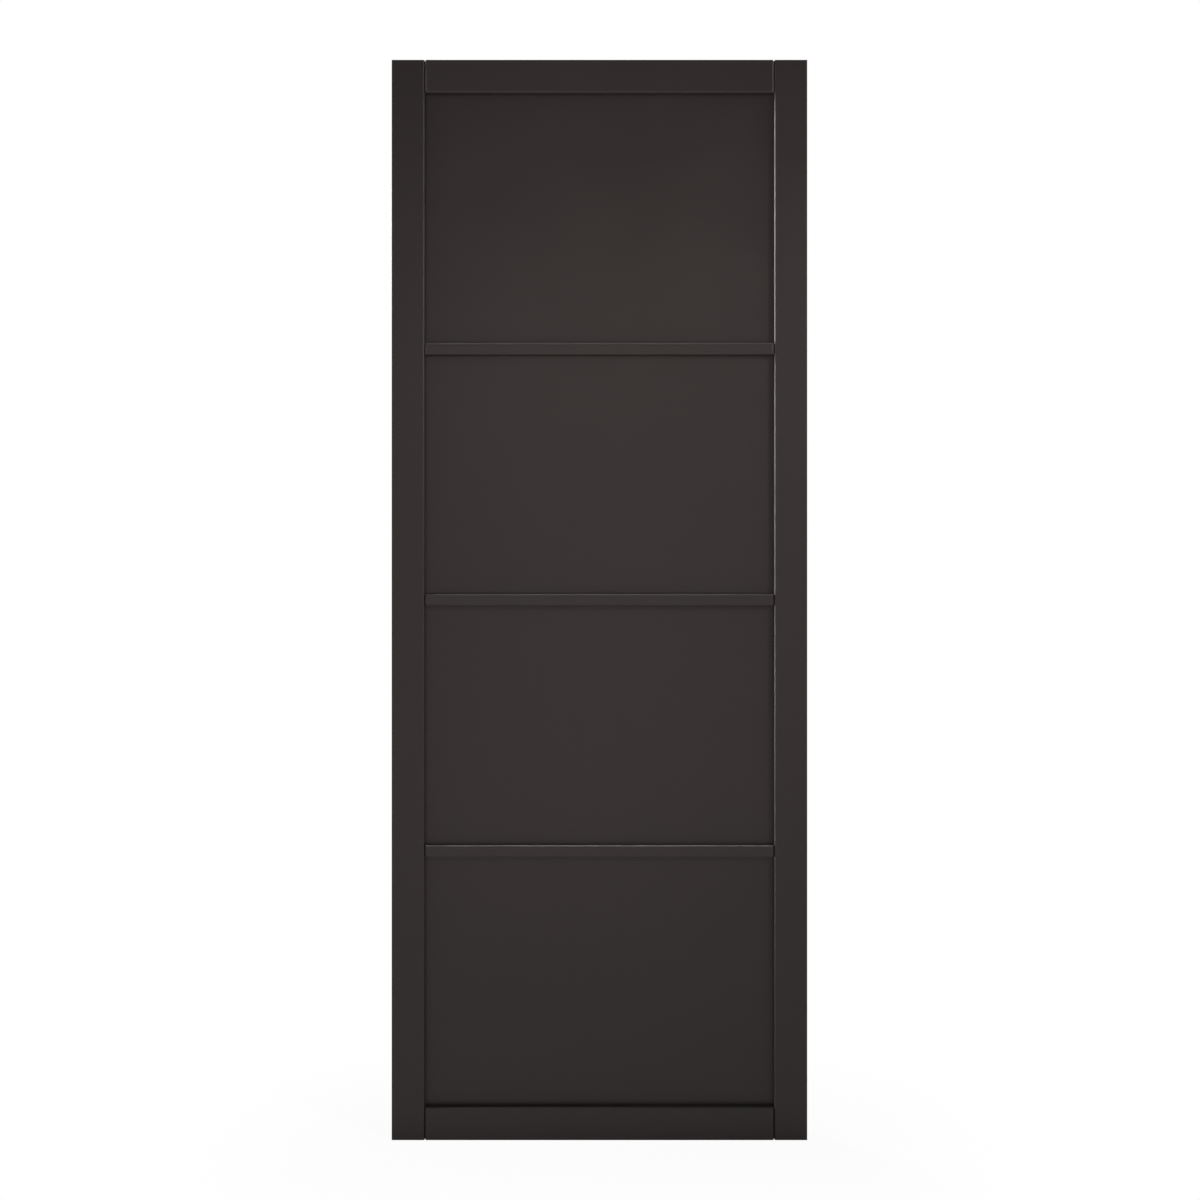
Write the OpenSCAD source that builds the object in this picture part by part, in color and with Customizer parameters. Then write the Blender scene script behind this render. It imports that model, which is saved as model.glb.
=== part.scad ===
// Interior door leaf of stile-and-rail construction: four flat panels between slim cross bars.
// X runs across the leaf, Y through its thickness with the front face towards -Y, and Z up.
// The origin is at the middle of the bottom edge.

/* [Leaf] */
// Height of the leaf
leaf_h = 1981; // [1800:1:2200]
// Width of the leaf
leaf_w = 762; // [500:1:950]
// Thickness of the leaf
leaf_t = 35; // [30:0.5:54]

/* [Frame members] */
// Width of each stile
stile_w = 60; // [55:1:130]
// Height of the top rail
top_rail_h = 60; // [55:1:150]
// Height of the bottom rail
bottom_rail_h = 60; // [55:1:250]
// Height of each cross bar
bar_h = 22; // [20:1:60]
// Spacing of the cross bars from centre to centre
bar_pitch = 461; // [300:1:520]
// Radius of the eased edges beside the panels and at the joints
joint_arris_r = 3; // [0.5:0.1:4]
// Width of the open line at the faces, where a rail or bar meets a stile
joint_line_w = 1.2; // [0.4:0.1:2]
// Depth of that line from each face
joint_line_d = 6; // [4.5:0.5:8]
// Radius of the eased edges round the outside of the leaf
outer_arris_r = 0.6; // [0.3:0.1:3]

/* [Panels and grooves] */
// Thickness of each panel
panel_t = 12; // [9:0.5:18]
// Depth of the panel grooves in the stiles and rails
frame_groove_d = 10; // [6:0.5:14]
// Depth of the panel grooves in the cross bars
bar_groove_d = 6; // [4:0.5:7]
// Room between a panel's side and top edges and the floors of their grooves
panel_gap = 0.8; // [0.3:0.1:2]
// Clearance between a panel or a tongue and each wall of its groove
groove_clearance = 0.15; // [0.05:0.05:0.5]
// Room between the end of a tongue and the floor of its groove
tongue_gap = 0.5; // [0.2:0.1:2]

/* [Dowels] */
// Diameter of the dowels that join the rails to the stiles
rail_dowel_d = 8; // [6:0.5:10]
// Length of the dowels that join the rails to the stiles
rail_dowel_l = 80; // [50:1:100]
// Distance between the two dowels of a rail joint
rail_dowel_spacing = 28; // [18:1:34]
// Diameter of the dowels that join the bars to the stiles
bar_dowel_d = 6; // [4:0.5:7]
// Length of the dowels that join the bars to the stiles
bar_dowel_l = 60; // [40:1:90]
// Chamfer at each end of a dowel
dowel_chamfer = 1; // [0.5:0.1:1.5]
// Clearance between a dowel and the wall of its hole
dowel_clearance = 0.1; // [0.05:0.05:0.3]
// Room between the end of a dowel and the bottom of its hole
dowel_end_gap = 0.8; // [0.3:0.1:2]

/* [Hidden] */

$fn = 48;

// How far a cut runs past the surface that it opens
overrun = 1;

paint_colour = "#383433";
dowel_colour = "#c9a877";

// Opening between the stiles, and the edge where rails and bars meet a stile
opening_w = leaf_w - 2 * stile_w;
shoulder_x = opening_w / 2;

// Groove width, and the tongue that enters it
groove_w = panel_t + 2 * groove_clearance;
tongue_l = frame_groove_d - tongue_gap;

// Centre heights of the rails and bars
top_rail_z = leaf_h - top_rail_h / 2;
bottom_rail_z = bottom_rail_h / 2;
middle_bar_z = leaf_h / 2;
upper_bar_z = middle_bar_z + bar_pitch;
lower_bar_z = middle_bar_z - bar_pitch;

// Distance from a bar's centre to the floor of either groove
bar_web_half = bar_h / 2 - bar_groove_d;

// Floors of the grooves in the rails
top_groove_z = leaf_h - top_rail_h + frame_groove_d;
bottom_groove_z = bottom_rail_h - frame_groove_d;

// Panel width, seated in both stiles
panel_w = opening_w + 2 * (frame_groove_d - panel_gap);

// Height of each dowel joint: a rail's two dowels sit about the middle of its solid part
rail_dowel_zs = [
    for (middle = [(leaf_h + top_groove_z) / 2, bottom_groove_z / 2], side = [-1, 1])
        middle + side * rail_dowel_spacing / 2
];
bar_dowel_zs = [upper_bar_z, middle_bar_z, lower_bar_z];

// Rectangle centred on the origin, with its corners rounded by one radius at the -X end and another at the +X end
module eased_rectangle(size, low_r, high_r) {
    translate([low_r - size.x / 2, -size.y / 2])
        square([size.x - low_r - high_r, size.y]);
    for (side = [-1, 1]) {
        r = side < 0 ? low_r : high_r;
        translate([side * (size.x / 2 - r), 0]) {
            square([2 * r, size.y - 2 * r], center = true);
            for (face = [-1, 1])
                translate([0, face * (size.y / 2 - r)])
                    circle(r = r);
        }
    }
}

// Section of a frame member across its length: X is its height or width, Y its thickness.
// Each edge is either the outside of the leaf, or faces a panel with a groove of the depth given.
module member_section(size, low_groove, high_groove) {
    difference() {
        eased_rectangle(
            [size, leaf_t],
            low_groove > 0 ? joint_arris_r : outer_arris_r,
            high_groove > 0 ? joint_arris_r : outer_arris_r
        );
        for (edge = [[-1, low_groove], [1, high_groove]])
            if (edge[1] > 0)
                translate([edge[0] * (size + overrun - edge[1]) / 2, 0])
                    square([edge[1] + overrun, groove_w], center = true);
    }
}

// Stands a section up along Z, from the bottom edge of the leaf to the top edge
module upright() {
    linear_extrude(height = leaf_h)
        children();
}

// Lays a section along X, with its height along Z
module crosswise(length) {
    rotate([0, -90, 0])
        linear_extrude(height = length, center = true)
            children();
}

// Holes along X at the given heights, reaching the same way into a stile and into what joins it
module dowel_holes(side, heights, diameter, length) {
    for (z = heights)
        translate([side * shoulder_x, 0, z])
            rotate([0, 90, 0])
                cylinder(
                    d = diameter + 2 * dowel_clearance,
                    h = length + 2 * dowel_end_gap,
                    center = true
                );
}

// Every dowel hole on one side of the leaf
module side_dowel_holes(side) {
    dowel_holes(side, rail_dowel_zs, rail_dowel_d, rail_dowel_l);
    dowel_holes(side, bar_dowel_zs, bar_dowel_d, bar_dowel_l);
}

// One stile: side is -1 at the left and 1 at the right, with its groove towards the opening
module stile(side) {
    color(paint_colour)
    difference() {
        intersection() {
            translate([side * (leaf_w - stile_w) / 2, 0, 0])
                upright()
                    rotate(side > 0 ? 0 : 180)
                        member_section(stile_w, frame_groove_d, 0);
            // Eases the front and back edges at the ends of the stile
            translate([0, 0, leaf_h / 2])
                crosswise(leaf_w)
                    eased_rectangle([leaf_h, leaf_t], outer_arris_r, outer_arris_r);
        }
        side_dowel_holes(side);
    }
}

// A rail or a bar between the stiles, centred at a height, with a tongue at each end that enters the stile's groove
module cross_member(z, height, low_groove, high_groove) {
    color(paint_colour)
    difference() {
        intersection() {
            translate([0, 0, z])
                crosswise(leaf_w)
                    member_section(height, low_groove, high_groove);
            // Plan of the member: eased ends that stand back from the stiles at both faces, shoulders and tongues
            upright() {
                eased_rectangle([opening_w - 2 * joint_line_w, leaf_t], joint_arris_r, joint_arris_r);
                square([opening_w, leaf_t - 2 * joint_line_d], center = true);
                square([opening_w + 2 * tongue_l, panel_t], center = true);
            }
        }
        for (side = [-1, 1])
            side_dowel_holes(side);
    }
}

// A flat panel that stands on the floor of the groove below it
module panel(low_z, high_z) {
    color(paint_colour)
    translate([-panel_w / 2, -panel_t / 2, low_z])
        cube([panel_w, panel_t, high_z - panel_gap - low_z]);
}

// One dowel along X, centred on the origin, with chamfered ends
module dowel(diameter, length) {
    rotate([0, 90, 0])
        rotate_extrude()
            polygon([
                [0, -length / 2],
                [diameter / 2 - dowel_chamfer, -length / 2],
                [diameter / 2, dowel_chamfer - length / 2],
                [diameter / 2, length / 2 - dowel_chamfer],
                [diameter / 2 - dowel_chamfer, length / 2],
                [0, length / 2]
            ]);
}

// A dowel across each shoulder at each of the given heights
module dowels(heights, diameter, length) {
    color(dowel_colour)
    for (side = [-1, 1], z = heights)
        translate([side * shoulder_x, 0, z])
            dowel(diameter, length);
}

module left_stile() { stile(-1); }

module right_stile() { stile(1); }

module top_rail() { cross_member(top_rail_z, top_rail_h, frame_groove_d, 0); }

module bottom_rail() { cross_member(bottom_rail_z, bottom_rail_h, 0, frame_groove_d); }

module upper_bar() { cross_member(upper_bar_z, bar_h, bar_groove_d, bar_groove_d); }

module middle_bar() { cross_member(middle_bar_z, bar_h, bar_groove_d, bar_groove_d); }

module lower_bar() { cross_member(lower_bar_z, bar_h, bar_groove_d, bar_groove_d); }

module top_panel() { panel(upper_bar_z + bar_web_half, top_groove_z); }

module upper_panel() { panel(middle_bar_z + bar_web_half, upper_bar_z - bar_web_half); }

module lower_panel() { panel(lower_bar_z + bar_web_half, middle_bar_z - bar_web_half); }

module bottom_panel() { panel(bottom_groove_z, lower_bar_z - bar_web_half); }

module rail_dowels() { dowels(rail_dowel_zs, rail_dowel_d, rail_dowel_l); }

module bar_dowels() { dowels(bar_dowel_zs, bar_dowel_d, bar_dowel_l); }

left_stile();
right_stile();
top_rail();
bottom_rail();
upper_bar();
middle_bar();
lower_bar();
top_panel();
upper_panel();
lower_panel();
bottom_panel();
rail_dowels();
bar_dowels();
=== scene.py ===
"""Looks of an interior door leaf: satin charcoal paint on every member, in a plain white studio."""

import math

import bpy
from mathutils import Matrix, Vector


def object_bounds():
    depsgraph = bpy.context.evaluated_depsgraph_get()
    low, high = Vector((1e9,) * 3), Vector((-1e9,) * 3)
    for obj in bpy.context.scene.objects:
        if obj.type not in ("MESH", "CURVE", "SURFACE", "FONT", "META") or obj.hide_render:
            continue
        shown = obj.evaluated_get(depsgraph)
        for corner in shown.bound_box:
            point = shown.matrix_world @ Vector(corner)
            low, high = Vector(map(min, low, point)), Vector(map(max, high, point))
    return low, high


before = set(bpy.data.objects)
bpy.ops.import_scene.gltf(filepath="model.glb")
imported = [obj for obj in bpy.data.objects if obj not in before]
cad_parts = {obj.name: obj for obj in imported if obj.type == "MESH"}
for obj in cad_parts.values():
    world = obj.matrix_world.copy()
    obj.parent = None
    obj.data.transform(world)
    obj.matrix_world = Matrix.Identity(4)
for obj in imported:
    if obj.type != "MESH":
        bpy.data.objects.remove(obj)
cad_low, cad_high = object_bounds()

# Framing: the picture's side, and the rows of the leaf's top and bottom edges, in pixels
IMAGE_SIDE = 1200
LEAF_TOP_ROW = 59.75
LEAF_BOTTOM_ROW = 1140.25

# Camera: its distance from the front face and its place beside the middle, in metres,
# and the width of its sensor in millimetres
CAMERA_DISTANCE = 2.09
CAMERA_ASIDE = 0.001
SENSOR_MM = 36.0

# Background
WHITE = (1, 1, 1, 1)

# Surroundings: the light they give, as a share of white, and how it falls off overhead.
# The heights are those of a direction of length 1.
AMBIENT_LEVEL = 0.42
CEILING_FROM = 0.15
CEILING_TO = 0.45
CEILING_SHARE = 0.2

# Floor: half its width and its reach in front of and behind the leaf, in metres, its colour, how strongly
# it shows the leaf's shadow where they touch, how far that reaches, and the level of its lit part
FLOOR_HALF_WIDTH = 4.0
FLOOR_FRONT = 3.5
FLOOR_BACK = 4.0
FLOOR_COLOUR = 0.8
SHADOW_SHARE = 0.14
SHADOW_REACH = 0.4
FLOOR_LIT_LEVEL = 0.35

# Painted bounce light: the glow the floor gives the leaf for diffuse rays, as a share of white. Painted
# contact shade:
# how far that glow and the floor's white in gloss are dimmer beside the leaf, and the share that is left
# where they touch
FLOOR_PAINTED_BOUNCE = 0.68
PAINTED_SHADE_REACH = 0.11
PAINTED_SHADE_LEVEL = 0.45

# Paint: the two tones it varies between in linear colour, its sheen and its roughness range
PAINT_DARK = (0.0250, 0.0190, 0.0178)
PAINT_LIGHT = (0.0270, 0.0206, 0.0193)
PAINT_SPECULAR = 0.2
PAINT_SMOOTH = 0.39
PAINT_ROUGH = 0.45

# Texture of the paint: scale and detail of its mottling and orange peel, and the peel's depth in metres
MOTTLE_SCALE = 8.0
MOTTLE_DETAIL = 3.0
PEEL_SCALE = 380.0
PEEL_DETAIL = 2.0
PEEL_DEPTH = 0.000012

# Faint lines along a member: their scale along and across it, their detail and their share of the tone
LINES_ALONG = 6.0
LINES_ACROSS = 240.0
LINES_DETAIL = 3.0
LINES_SHARE = 0.4

# Beech: the two tones it varies between in linear colour, the scale of its grain along and across it,
# the grain's detail, and its roughness
BEECH_DARK = (0.50, 0.31, 0.14)
BEECH_LIGHT = (0.66, 0.46, 0.23)
GRAIN_ALONG = 20.0
GRAIN_ACROSS = 500.0
GRAIN_DETAIL = 4.0
BEECH_ROUGHNESS = 0.62

# The part of a noise's range that is used from end to end
NOISE_LOW = 0.3
NOISE_HIGH = 0.7

# Each lamp below has a twin half a turn round the leaf, so that the back is lit like the front
TURNS = {"front": 1, "back": -1}

# Spots: place, the point they face and the radius of the source in metres, cone in degrees, blend and watts
SPOTS = {
    "key": ((2.25, -1.95, 2.55), (0.0, 0, 0.98), 0.22, 31, 0.75, 160),
    "middle": ((0, -3.2, 1.35), (-0.05, 0, 1.0), 0.5, 27, 1.0, 10),
    "upper_left": ((-0.8, -3.0, 2.0), (-0.12, 0, 1.78), 0.4, 28, 1.0, 16),
}

# Low spots that fill the shadows and show in no gloss: the same values
FILL_SPOTS = {
    "low_to_top": ((0.1, -3.4, 0.15), (0.05, 0, 1.71), 0.3, 20, 1.0, 320),
    "low_to_lower": ((-0.1, -3.4, 0.15), (-0.13, 0, 0.8), 0.3, 26, 1.0, 138),
}

# Strips that only show as glints: place, the point they face, width and height in metres, and watts
GLINT_STRIPS = {
    "right": ((2.6, -0.7, 2.9), (-0.3, 0, 1.7), (0.35, 1.6), 62),
    "left": ((-2.6, -0.7, 2.9), (0.3, 0, 1.7), (0.35, 1.6), 25),
}

# Strips overhead that each reach only one bar: the same values
BAR_STRIPS = {
    "upper_bar": ((0, -0.6, 4.0), (0, 0, 1.45), (1.6, 0.35), 50),
    "middle_bar": ((0, -0.6, 4.0), (0, 0, 0.99), (1.6, 0.35), 85),
    "lower_bar": ((0, -0.6, 4.0), (0, 0, 0.53), (1.6, 0.35), 260),
}

# Strips beside the leaf that skim its face and are kept off the stile next to them: the same values
SKIMMING_STRIPS = {
    "side": ((-3.2, -0.06, 1.8), (0.3, -0.02, 1.8), (0.1, 3.4), 640),
    "side_top": ((-3.2, -0.06, 3.0), (0.3, -0.02, 2.0), (0.1, 2.0), 470),
}

# The stile next to those strips, on each side of the leaf
NEXT_TO_STRIPS = {"front": "left_stile", "back": "right_stile"}


def node_maker(tree):
    """A function that adds a node to a tree, sets its properties and feeds its inputs by name or number."""

    def add(kind, inputs=None, **settings):
        made = tree.nodes.new(kind)
        for name, value in settings.items():
            setattr(made, name, value)
        for socket, value in (inputs or {}).items():
            if isinstance(value, bpy.types.NodeSocket):
                tree.links.new(value, made.inputs[socket])
            else:
                made.inputs[socket].default_value = value
        return made

    return add


def new_material(name):
    """An empty material, and the function that adds nodes to it."""
    material = bpy.data.materials.new(name)
    material.use_nodes = True
    material.node_tree.nodes.clear()
    return material, node_maker(material.node_tree)


def calculate(add, operation, first, second=0.0):
    """The result of an operation on two values."""
    return add("ShaderNodeMath", {0: first, 1: second}, operation=operation).outputs[0]


def stretch(add, value, from_low, from_high, to_low, to_high):
    """A value mapped from one range to another, and held inside it."""
    mapped = add(
        "ShaderNodeMapRange",
        {"Value": value, "From Min": from_low, "From Max": from_high, "To Min": to_low, "To Max": to_high},
    )
    return mapped.outputs[0]


def noise(add, place, scale, detail):
    return add("ShaderNodeTexNoise", {"Vector": place, "Scale": scale, "Detail": detail}).outputs["Fac"]


def drawn_noise(add, place, scales, detail):
    """Noise with a scale of its own along each axis."""
    drawn = add("ShaderNodeMapping", {"Vector": place, "Scale": scales}).outputs[0]
    return noise(add, drawn, 1.0, detail)


def between_tones(add, tone, dark, light):
    """A colour between two tones, by a noise."""
    mixed = add(
        "ShaderNodeMix",
        {"Factor": stretch(add, tone, NOISE_LOW, NOISE_HIGH, 0.0, 1.0), "A": (*dark, 1), "B": (*light, 1)},
        data_type="RGBA",
    )
    return mixed.outputs[2]


def sees_background(add):
    """1 for the rays that show the background: from the camera, in gloss and through glass."""
    path = add("ShaderNodeLightPath")
    seen = calculate(add, "MAXIMUM", path.outputs["Is Camera Ray"], path.outputs["Is Glossy Ray"])
    return calculate(add, "MAXIMUM", seen, path.outputs["Is Transmission Ray"])


def make_camera():
    """A level camera in front of the leaf, with the leaf's edges on their rows of the picture."""
    height = cad_high.z - cad_low.z
    picture_height = height * IMAGE_SIDE / (LEAF_BOTTOM_ROW - LEAF_TOP_ROW)
    data = bpy.data.cameras.new("camera")
    data.sensor_width = SENSOR_MM
    data.lens = SENSOR_MM * CAMERA_DISTANCE / picture_height
    camera = bpy.data.objects.new("camera", data)
    middle = (cad_low + cad_high) / 2
    camera.location = (middle.x + CAMERA_ASIDE, cad_low.y - CAMERA_DISTANCE, middle.z)
    camera.rotation_euler = (math.radians(90), 0, 0)
    bpy.context.scene.collection.objects.link(camera)
    bpy.context.scene.camera = camera


def make_world():
    """White as the background, and a softer light that falls off overhead for the rest."""
    world = bpy.data.worlds.new("studio")
    world.use_nodes = True
    world.node_tree.nodes.clear()
    add = node_maker(world.node_tree)
    direction = add("ShaderNodeTexCoord").outputs["Generated"]
    height = add("ShaderNodeSeparateXYZ", {0: direction}).outputs["Z"]
    ceiling = stretch(add, height, CEILING_FROM, CEILING_TO, 1.0, CEILING_SHARE)
    camera_ray = add("ShaderNodeLightPath").outputs["Is Camera Ray"]
    shown = calculate(add, "MAXIMUM", camera_ray, ceiling)
    dimmed = calculate(add, "MULTIPLY", ceiling, AMBIENT_LEVEL)
    white = add("ShaderNodeBackground", {"Color": WHITE, "Strength": shown})
    ambient = add("ShaderNodeBackground", {"Color": WHITE, "Strength": dimmed})
    mixed = add("ShaderNodeMixShader", {0: sees_background(add), 1: ambient.outputs[0], 2: white.outputs[0]})
    add("ShaderNodeOutputWorld", {"Surface": mixed.outputs[0]})
    bpy.context.scene.world = world


def floor_material():
    """White as the background, less what the leaf's shadow takes from it near the leaf; for the other rays a
    painted bounce glow, and painted contact shade beside the leaf in that glow and in its white as seen in
    gloss.
    """
    material, add = new_material("floor_white")
    place = add("ShaderNodeTexCoord").outputs["Object"]
    parts = add("ShaderNodeSeparateXYZ", {0: place}).outputs
    aside = calculate(add, "SUBTRACT", calculate(add, "ABSOLUTE", parts["X"]), cad_high.x)
    offset = add("ShaderNodeCombineXYZ", {"X": calculate(add, "MAXIMUM", aside, 0.0), "Y": parts["Y"]})
    distance = add("ShaderNodeVectorMath", {0: offset.outputs[0]}, operation="LENGTH").outputs["Value"]
    share = stretch(add, distance, 0.0, SHADOW_REACH, SHADOW_SHARE, 0.0)
    taken = calculate(add, "MULTIPLY", share, FLOOR_LIT_LEVEL)
    # Painted contact shade: the share of the floor's glow and gloss white left at each distance from the
    # leaf
    clear = stretch(add, distance, 0.0, PAINTED_SHADE_REACH, PAINTED_SHADE_LEVEL, 1.0)
    camera_ray = add("ShaderNodeLightPath").outputs["Is Camera Ray"]
    left = calculate(add, "SUBTRACT", 1.0, taken)
    # Camera rays see the white without the painted contact shade; rays in gloss see it with that shade
    shown_level = calculate(add, "MULTIPLY", left, calculate(add, "MAXIMUM", camera_ray, clear))
    # Painted bounce light: for diffuse rays the floor glows white, standing in for the light it would bounce
    # onto the leaf
    painted_bounce_level = calculate(add, "MULTIPLY", clear, FLOOR_PAINTED_BOUNCE)
    plain = add("ShaderNodeBsdfDiffuse", {"Color": (FLOOR_COLOUR, FLOOR_COLOUR, FLOOR_COLOUR, 1)})
    white = add("ShaderNodeEmission", {"Color": WHITE, "Strength": shown_level})
    painted_bounce_glow = add("ShaderNodeEmission", {"Color": WHITE, "Strength": painted_bounce_level})
    shadowed = add("ShaderNodeMixShader", {0: share, 2: plain.outputs[0]})
    shown = add("ShaderNodeAddShader", {0: white.outputs[0], 1: shadowed.outputs[0]})
    # Diffuse rays see the real diffuse floor plus the painted bounce glow
    lit = add("ShaderNodeAddShader", {0: plain.outputs[0], 1: painted_bounce_glow.outputs[0]})
    mixed = add("ShaderNodeMixShader", {0: sees_background(add), 1: lit.outputs[0], 2: shown.outputs[0]})
    add("ShaderNodeOutputMaterial", {"Surface": mixed.outputs[0]})
    return material


def make_floor():
    mesh = bpy.data.meshes.new("floor")
    corners = [
        (-FLOOR_HALF_WIDTH, -FLOOR_FRONT, cad_low.z),
        (FLOOR_HALF_WIDTH, -FLOOR_FRONT, cad_low.z),
        (FLOOR_HALF_WIDTH, FLOOR_BACK, cad_low.z),
        (-FLOOR_HALF_WIDTH, FLOOR_BACK, cad_low.z),
    ]
    mesh.from_pydata(corners, [], [(0, 1, 2, 3)])
    mesh.materials.append(floor_material())
    floor = bpy.data.objects.new("floor", mesh)
    bpy.context.scene.collection.objects.link(floor)


def place_light(data, turn, place, target):
    """Adds a lamp at a place, or at that place turned half round the leaf."""
    light = bpy.data.objects.new(data.name, data)
    half_turn = Vector((turn, turn, 1))
    light.location = Vector(place) * half_turn
    aim = Vector(target) * half_turn - light.location
    light.rotation_euler = aim.to_track_quat("-Z", "Y").to_euler()
    light.visible_camera = False
    bpy.context.scene.collection.objects.link(light)
    return light


def make_spot(name, turn, place, target, radius, cone, blend, watts):
    data = bpy.data.lights.new(name, "SPOT")
    data.shadow_soft_size = radius
    data.spot_size = math.radians(cone)
    data.spot_blend = blend
    data.energy = watts
    return place_light(data, turn, place, target)


def make_glint_strip(name, turn, place, target, size, watts):
    """A strip that shows in gloss alone."""
    data = bpy.data.lights.new(name, "AREA")
    data.shape = "RECTANGLE"
    data.size, data.size_y = size
    data.energy = watts
    light = place_light(data, turn, place, target)
    light.visible_diffuse = False
    return light


def link_light(light, name, state):
    """Lets a lamp reach one node alone, or every node but that one."""
    linked = bpy.data.collections.new(light.name + "_linked")
    linked.objects.link(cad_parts[name])
    linked.collection_objects[0].light_linking.link_state = state
    light.light_linking.receiver_collection = linked


def make_lights():
    for side, turn in TURNS.items():
        for name, values in SPOTS.items():
            make_spot(side + "_" + name, turn, *values)
        for name, values in FILL_SPOTS.items():
            make_spot(side + "_" + name, turn, *values).visible_glossy = False
        for name, values in GLINT_STRIPS.items():
            make_glint_strip(side + "_" + name, turn, *values)
        for name, values in BAR_STRIPS.items():
            strip = make_glint_strip(side + "_over_" + name, turn, *values)
            link_light(strip, name, "INCLUDE")
        for name, values in SKIMMING_STRIPS.items():
            strip = make_glint_strip(side + "_" + name, turn, *values)
            link_light(strip, NEXT_TO_STRIPS[side], "EXCLUDE")


def paint_material(name, along=None):
    """Satin paint with faint mottling and orange peel, and faint lines along a member's length if given."""
    material, add = new_material(name)
    place = add("ShaderNodeTexCoord").outputs["Object"]
    peel = noise(add, place, PEEL_SCALE, PEEL_DETAIL)
    tone = noise(add, place, MOTTLE_SCALE, MOTTLE_DETAIL)
    if along is not None:
        scales = [LINES_ALONG if axis == along else LINES_ACROSS for axis in "XYZ"]
        lines = drawn_noise(add, place, scales, LINES_DETAIL)
        mottle_part = calculate(add, "MULTIPLY", tone, 1 - LINES_SHARE)
        lines_part = calculate(add, "MULTIPLY", lines, LINES_SHARE)
        tone = calculate(add, "ADD", mottle_part, lines_part)
    bump = add("ShaderNodeBump", {"Height": peel, "Distance": PEEL_DEPTH})
    shader = add(
        "ShaderNodeBsdfPrincipled",
        {
            "Base Color": between_tones(add, tone, PAINT_DARK, PAINT_LIGHT),
            "Roughness": stretch(add, tone, NOISE_LOW, NOISE_HIGH, PAINT_SMOOTH, PAINT_ROUGH),
            "Normal": bump.outputs[0],
            "Specular IOR Level": PAINT_SPECULAR,
        },
    )
    add("ShaderNodeOutputMaterial", {"Surface": shader.outputs[0]})
    return material


def beech_material():
    """Bare beech with fine grain along X."""
    material, add = new_material("beech")
    place = add("ShaderNodeTexCoord").outputs["Object"]
    grain = drawn_noise(add, place, (GRAIN_ALONG, GRAIN_ACROSS, GRAIN_ACROSS), GRAIN_DETAIL)
    shader = add(
        "ShaderNodeBsdfPrincipled",
        {
            "Base Color": between_tones(add, grain, BEECH_DARK, BEECH_LIGHT),
            "Roughness": BEECH_ROUGHNESS,
        },
    )
    add("ShaderNodeOutputMaterial", {"Surface": shader.outputs[0]})
    return material


def paint_nodes():
    """Gives every node its finish, with the paint's lines along the member."""
    upright = paint_material("stile_paint", "Z")
    crosswise = paint_material("rail_paint", "X")
    board = paint_material("panel_paint")
    beech = beech_material()
    for name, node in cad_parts.items():
        if "stile" in name:
            material = upright
        elif "panel" in name:
            material = board
        elif "dowels" in name:
            material = beech
        else:
            material = crosswise
        for slot in range(len(node.data.materials)):
            node.data.materials[slot] = material


make_camera()
make_world()
make_floor()
make_lights()
paint_nodes()
bpy.context.scene.view_settings.view_transform = "Standard"
